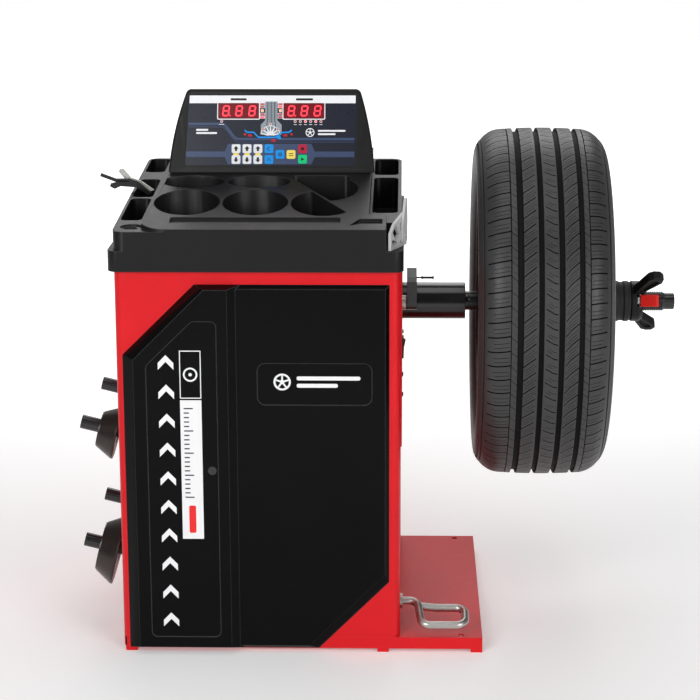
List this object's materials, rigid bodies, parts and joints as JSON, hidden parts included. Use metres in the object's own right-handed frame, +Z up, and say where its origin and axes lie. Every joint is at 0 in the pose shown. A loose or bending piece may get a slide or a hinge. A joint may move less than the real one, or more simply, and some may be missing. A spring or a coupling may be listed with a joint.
{
  "type": "wheel balancer machine",
  "caption": "Cabinet wheel balancer with leaning console, weight tray, driven spindle carrying a mounted wheel and tyre, quick nut, distance gauge, brake pedal and spare cones.",
  "frame": {"origin": "on the floor under the middle of the whole machine's footprint box; y = 0 is the spindle's plane", "axes": "+Z up, +X along the spindle towards the quick nut, +Y from the operator's side to the back"},
  "size_m": [1.0762, 0.6339, 0.9661],
  "materials": {
    "red_paint": "semi-gloss red powder coat",
    "panel_black": "gloss black vacuum-formed sheet",
    "tray_black": "satin black moulded plastic with a fine grain",
    "black_metal": "black oxide and black paint",
    "machined_steel": "turned steel",
    "zinc_plate": "bright zinc and chrome plate",
    "rim_black": "satin black wheel paint",
    "tyre_rubber": "moulded tyre rubber",
    "black_rubber": "soft rubber",
    "red_plastic": "red moulded plastic",
    "grey_plastic": "light grey moulded plastic",
    "membrane_print": "printed polyester overlay",
    "key_white": "white key",
    "key_blue": "blue key",
    "key_yellow": "yellow key",
    "key_red": "red key",
    "key_green": "green key",
    "circuit_board": "green solder mask",
    "motor_alloy": "cast aluminium",
    "dark_steel": "oiled dark steel"
  },
  "bodies": {
    "cabinet": {"cabinet_shell": "red_paint", "rear_panel": "red_paint", "base_pan": "red_paint", "front_panel": "panel_black", "side_cover": "red_paint", "cover_screws": "black_metal", "switch_frame": "tray_black", "power_inlet": "tray_black", "weight_tray": "tray_black", "console_housing": "tray_black", "console_rear_cover": "tray_black", "membrane_panel": "membrane_print", "control_board": "circuit_board", "spindle_housing": "black_metal", "spindle_bearings": "machined_steel", "drive_motor": "motor_alloy", "drive_belt": "black_rubber", "gauge_bush": "zinc_plate", "pedal_brackets": "zinc_plate", "storage_pegs": "black_metal"},
    "spindle": {"spindle_shaft": "black_metal", "spindle_pulley": "motor_alloy", "encoder_disc": "machined_steel", "backing_flange": "black_metal", "centering_cone": "dark_steel", "cone_spring": "machined_steel", "wheel_rim": "rim_black", "valve_stem": "black_rubber", "tyre": "tyre_rubber"},
    "motor_rotor": {"motor_pulley": "motor_alloy"},
    "cup": {"pressure_cup": "black_rubber"},
    "nut": {"quick_nut": "tray_black"},
    "release_lever": {"nut_lever": "machined_steel", "lever_pad": "red_plastic"},
    "gauge_slider": {"gauge_carriage": "motor_alloy"},
    "gauge": {"gauge_rod": "zinc_plate", "gauge_arm": "black_metal"},
    "pedal": {"brake_pedal": "zinc_plate"},
    "link": {"brake_link": "zinc_plate"},
    "brake": {"brake_arm": "dark_steel"},
    "rocker": {"switch_rocker": "tray_black"},
    "lock": {"panel_lock": "black_metal"},
    "medium_cone": {"cone_medium": "dark_steel"},
    "large_cone": {"cone_large": "dark_steel"},
    "caliper": {"caliper_body": "grey_plastic"},
    "caliper_arm": {"caliper_jaw": "grey_plastic"},
    "pliers": {"pliers_body": "black_metal"},
    "pliers_handle": {"pliers_lever": "zinc_plate"},
    "key_up_left_cap": {"key_up_left": "key_white"},
    "key_up_middle_cap": {"key_up_middle": "key_white"},
    "key_up_right_cap": {"key_up_right": "key_white"},
    "key_down_left_cap": {"key_down_left": "key_white"},
    "key_down_middle_cap": {"key_down_middle": "key_white"},
    "key_down_right_cap": {"key_down_right": "key_white"},
    "key_blue_upper_cap": {"key_blue_upper": "key_blue"},
    "key_blue_lower_cap": {"key_blue_lower": "key_blue"},
    "key_blue_right_cap": {"key_blue_right": "key_blue"},
    "key_yellow_cap": {"key_yellow": "key_yellow"},
    "key_stop_cap": {"key_stop": "key_red"},
    "key_start_cap": {"key_start": "key_green"}
  },
  "joints": [
    {"name": "spindle_spin", "type": "hinge", "parent": "cabinet", "child": "spindle", "pos_m": [0.0458, 0, 0.5783], "axis": [1, 0, 0], "continuous": true},
    {"name": "motor_spin", "type": "hinge", "parent": "cabinet", "child": "motor_rotor", "pos_m": [-0.1962, 0, 0.33], "axis": [1, 0, 0], "continuous": true},
    {"name": "cup_slide", "type": "slide", "parent": "spindle", "child": "cup", "axis": [1, 0, 0], "range_m": [0, 0.19]},
    {"name": "nut_turn", "type": "hinge", "parent": "cup", "child": "nut", "pos_m": [0.4658, 0, 0.5783], "axis": [1, 0, 0], "continuous": true},
    {"name": "lever_press", "type": "hinge", "parent": "nut", "child": "release_lever", "pos_m": [0.4728, -0.03021, 0.58527], "axis": [0, 0.225, 0.9744], "range_deg": [0, 8], "stiffness_Nm_per_rad": 0.8},
    {"name": "gauge_pull", "type": "slide", "parent": "cabinet", "child": "gauge_slider", "axis": [1, 0, 0], "range_m": [0, 0.08]},
    {"name": "gauge_swing", "type": "hinge", "parent": "gauge_slider", "child": "gauge", "pos_m": [-0.2292, -0.0623, 0.588], "axis": [1, 0, 0], "range_deg": [0, 175]},
    {"name": "pedal_press", "type": "hinge", "parent": "cabinet", "child": "pedal", "pos_m": [0.0458, -0.2223, 0.075], "axis": [1, 0, 0], "range_deg": [0, 10], "stiffness_Nm_per_rad": 40, "springref_deg": -11.46},
    {"name": "link_lift", "type": "slide", "parent": "cabinet", "child": "link", "axis": [0, 0, 1], "range_m": [0, 0.0072]},
    {"name": "brake_swing", "type": "hinge", "parent": "cabinet", "child": "brake", "pos_m": [-0.1742, 0.0977, 0.47], "axis": [-1, 0, 0], "range_deg": [0, 1.5]},
    {"name": "rocker_flip", "type": "hinge", "parent": "cabinet", "child": "rocker", "pos_m": [0.0423, -0.2423, 0.549], "axis": [0, -1, 0], "range_deg": [0, 16]},
    {"name": "lock_turn", "type": "hinge", "parent": "cabinet", "child": "lock", "pos_m": [-0.2886, -0.2823, 0.3407], "axis": [0, 1, 0], "range_deg": [0, 90]},
    {"name": "cone_medium_off", "type": "slide", "parent": "cabinet", "child": "medium_cone", "axis": [-0.9703, 0, 0.2419], "range_m": [0, 0.1]},
    {"name": "cone_large_off", "type": "slide", "parent": "cabinet", "child": "large_cone", "axis": [-0.9703, 0, 0.2419], "range_m": [0, 0.1]},
    {"name": "caliper_lift", "type": "slide", "parent": "cabinet", "child": "caliper", "axis": [0, 0, 1], "range_m": [0, 0.12]},
    {"name": "caliper_open", "type": "hinge", "parent": "caliper", "child": "caliper_arm", "pos_m": [0.03653, -0.23631, 0.745], "axis": [0.9243, -0.3818, 0], "range_deg": [-5, 40]},
    {"name": "pliers_lift", "type": "slide", "parent": "cabinet", "child": "pliers", "axis": [0, 0, 1], "range_m": [0, 0.15]},
    {"name": "pliers_open", "type": "hinge", "parent": "pliers", "child": "pliers_handle", "pos_m": [-0.4622, 0.0177, 0.796], "axis": [0, 1, 0], "range_deg": [0, 22]},
    {"name": "key_up_left_press", "type": "slide", "parent": "cabinet", "child": "key_up_left_cap", "axis": [0, 0.9563, -0.2924], "range_m": [0, 0.0008], "stiffness_N_per_m": 500, "springref_m": -0.0004},
    {"name": "key_up_middle_press", "type": "slide", "parent": "cabinet", "child": "key_up_middle_cap", "axis": [0, 0.9563, -0.2924], "range_m": [0, 0.0008], "stiffness_N_per_m": 500, "springref_m": -0.0004},
    {"name": "key_up_right_press", "type": "slide", "parent": "cabinet", "child": "key_up_right_cap", "axis": [0, 0.9563, -0.2924], "range_m": [0, 0.0008], "stiffness_N_per_m": 500, "springref_m": -0.0004},
    {"name": "key_down_left_press", "type": "slide", "parent": "cabinet", "child": "key_down_left_cap", "axis": [0, 0.9563, -0.2924], "range_m": [0, 0.0008], "stiffness_N_per_m": 500, "springref_m": -0.0004},
    {"name": "key_down_middle_press", "type": "slide", "parent": "cabinet", "child": "key_down_middle_cap", "axis": [0, 0.9563, -0.2924], "range_m": [0, 0.0008], "stiffness_N_per_m": 500, "springref_m": -0.0004},
    {"name": "key_down_right_press", "type": "slide", "parent": "cabinet", "child": "key_down_right_cap", "axis": [0, 0.9563, -0.2924], "range_m": [0, 0.0008], "stiffness_N_per_m": 500, "springref_m": -0.0004},
    {"name": "key_blue_upper_press", "type": "slide", "parent": "cabinet", "child": "key_blue_upper_cap", "axis": [0, 0.9563, -0.2924], "range_m": [0, 0.0008], "stiffness_N_per_m": 500, "springref_m": -0.0004},
    {"name": "key_blue_lower_press", "type": "slide", "parent": "cabinet", "child": "key_blue_lower_cap", "axis": [0, 0.9563, -0.2924], "range_m": [0, 0.0008], "stiffness_N_per_m": 500, "springref_m": -0.0004},
    {"name": "key_blue_right_press", "type": "slide", "parent": "cabinet", "child": "key_blue_right_cap", "axis": [0, 0.9563, -0.2924], "range_m": [0, 0.0008], "stiffness_N_per_m": 500, "springref_m": -0.0004},
    {"name": "key_yellow_press", "type": "slide", "parent": "cabinet", "child": "key_yellow_cap", "axis": [0, 0.9563, -0.2924], "range_m": [0, 0.0008], "stiffness_N_per_m": 500, "springref_m": -0.0004},
    {"name": "key_stop_press", "type": "slide", "parent": "cabinet", "child": "key_stop_cap", "axis": [0, 0.9563, -0.2924], "range_m": [0, 0.0008], "stiffness_N_per_m": 500, "springref_m": -0.0004},
    {"name": "key_start_press", "type": "slide", "parent": "cabinet", "child": "key_start_cap", "axis": [0, 0.9563, -0.2924], "range_m": [0, 0.0008], "stiffness_N_per_m": 500, "springref_m": -0.0004}
  ],
  "couplings": [
    {"joint": "motor_spin", "follows": "spindle_spin", "ratio": 3},
    {"joint": "link_lift", "follows": "pedal_press", "m_per_rad": 0.04},
    {"joint": "brake_swing", "follows": "pedal_press", "ratio": 0.14286}
  ]
}
